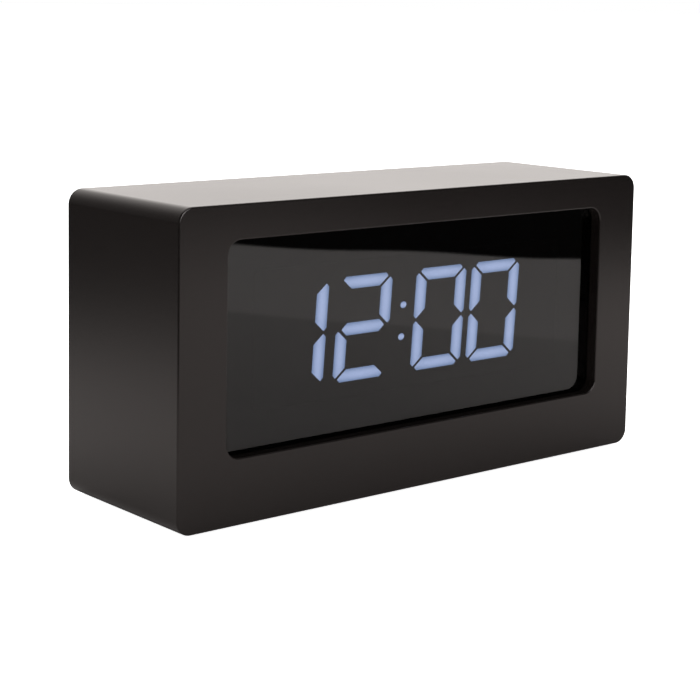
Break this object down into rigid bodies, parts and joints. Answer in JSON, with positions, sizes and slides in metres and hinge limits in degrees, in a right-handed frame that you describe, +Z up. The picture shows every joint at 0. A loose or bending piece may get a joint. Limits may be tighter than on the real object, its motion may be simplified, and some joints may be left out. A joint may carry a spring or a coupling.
{
  "type": "digital alarm clock",
  "caption": "Box-shaped tabletop digital alarm clock with a recessed smoked window, a slanted seven-segment display and a rear panel with buttons, switches, socket and battery bay.",
  "frame": {"origin": "on the surface the clock stands on, under the middle of the casing", "axes": "+X to the right as seen from the front, +Y from the front to the back, +Z up; the display faces -Y"},
  "size_m": [0.2, 0.062, 0.1],
  "materials": {
    "casing_lacquer": "satin black lacquer over fibreboard",
    "raw_fibreboard": "raw fibreboard",
    "foot_rubber": "matt",
    "smoked_acrylic": "glossy smoked acrylic",
    "tape": "foam tape",
    "black_plastic": "fine spark texture",
    "zinc_screw": "zinc plated",
    "black_screw": "black oxide",
    "lit_segment": "translucent, lit from behind",
    "unlit_segment": "translucent milky",
    "led_chip": "surface-mounted light",
    "circuit_board": "green solder mask",
    "chip_epoxy": "moulded epoxy",
    "connector_plastic": "ivory",
    "ribbon_jacket": "grey flat cable",
    "crystal_can": "drawn can",
    "capacitor_sleeve": "shrink sleeve",
    "component_plastic": "black",
    "nickel": "nickel plated",
    "button_plastic": "satin black",
    "cell_jacket": "plain jacket",
    "wire_red": "insulation",
    "wire_black": "insulation"
  },
  "bodies": {
    "clock": {"casing": "casing_lacquer", "corner_blocks": "raw_fibreboard", "foot_front_left": "foot_rubber", "foot_front_right": "foot_rubber", "foot_rear_left": "foot_rubber", "foot_rear_right": "foot_rubber", "front_lens": "smoked_acrylic", "lens_tape": "tape", "display_holder": "black_plastic", "display_reflector": "black_plastic", "rear_cover": "black_plastic", "display_holder_screws": "zinc_screw", "display_board_screws": "zinc_screw", "main_board_screws": "zinc_screw", "rear_cover_screws": "black_screw", "hour_tens_segments_lit": "lit_segment", "hour_units_segments_lit": "lit_segment", "minute_tens_segments_lit": "lit_segment", "minute_units_segments_lit": "lit_segment", "colon_dots": "lit_segment", "hour_tens_segments_unlit": "unlit_segment", "hour_units_segments_unlit": "unlit_segment", "minute_tens_segments_unlit": "unlit_segment", "minute_units_segments_unlit": "unlit_segment", "alarm_indicator": "unlit_segment", "segment_leds": "led_chip", "display_board": "circuit_board", "main_board": "circuit_board", "display_driver_chip": "chip_epoxy", "clock_chip": "chip_epoxy", "voltage_regulator": "chip_epoxy", "display_connector": "connector_plastic", "main_connector": "connector_plastic", "display_ribbon_cable": "ribbon_jacket", "timing_crystal": "crystal_can", "smoothing_capacitor": "capacitor_sleeve", "buzzer": "component_plastic", "power_inlet": "component_plastic", "time_tact_switch": "component_plastic", "alarm_tact_switch": "component_plastic", "snooze_tact_switch": "component_plastic", "hour_tact_switch": "component_plastic", "minute_tact_switch": "component_plastic", "alarm_switch_body": "component_plastic", "dimmer_switch_body": "component_plastic", "power_inlet_pin": "nickel", "battery_contacts": "nickel", "battery_bridge": "nickel", "backup_cell_upper": "cell_jacket", "backup_cell_lower": "cell_jacket", "battery_wire_red": "wire_red", "battery_wire_black": "wire_black"},
    "time_button": {"time_button": "button_plastic"},
    "alarm_button": {"alarm_button": "button_plastic"},
    "snooze_button": {"snooze_button": "button_plastic"},
    "hour_button": {"hour_button": "button_plastic"},
    "minute_button": {"minute_button": "button_plastic"},
    "alarm_switch_knob": {"alarm_switch_knob": "button_plastic"},
    "dimmer_switch_knob": {"dimmer_switch_knob": "button_plastic"},
    "battery_door": {"battery_door": "black_plastic"}
  },
  "joints": [
    {"name": "time_button_press", "type": "slide", "parent": "clock", "child": "time_button", "axis": [0, -1, 0], "range_m": [0, 0.0005], "stiffness_N_per_m": 3000},
    {"name": "alarm_button_press", "type": "slide", "parent": "clock", "child": "alarm_button", "axis": [0, -1, 0], "range_m": [0, 0.0005], "stiffness_N_per_m": 3000},
    {"name": "snooze_button_press", "type": "slide", "parent": "clock", "child": "snooze_button", "axis": [0, -1, 0], "range_m": [0, 0.0005], "stiffness_N_per_m": 3000},
    {"name": "hour_button_press", "type": "slide", "parent": "clock", "child": "hour_button", "axis": [0, -1, 0], "range_m": [0, 0.0005], "stiffness_N_per_m": 3000},
    {"name": "minute_button_press", "type": "slide", "parent": "clock", "child": "minute_button", "axis": [0, -1, 0], "range_m": [0, 0.0005], "stiffness_N_per_m": 3000},
    {"name": "alarm_switch_slide", "type": "slide", "parent": "clock", "child": "alarm_switch_knob", "axis": [-1, 0, 0], "range_m": [0, 0.003]},
    {"name": "dimmer_switch_slide", "type": "slide", "parent": "clock", "child": "dimmer_switch_knob", "axis": [-1, 0, 0], "range_m": [0, 0.003]},
    {"name": "battery_door_lift", "type": "slide", "parent": "clock", "child": "battery_door", "axis": [0, 1, 0], "range_m": [0, 0.02]}
  ]
}
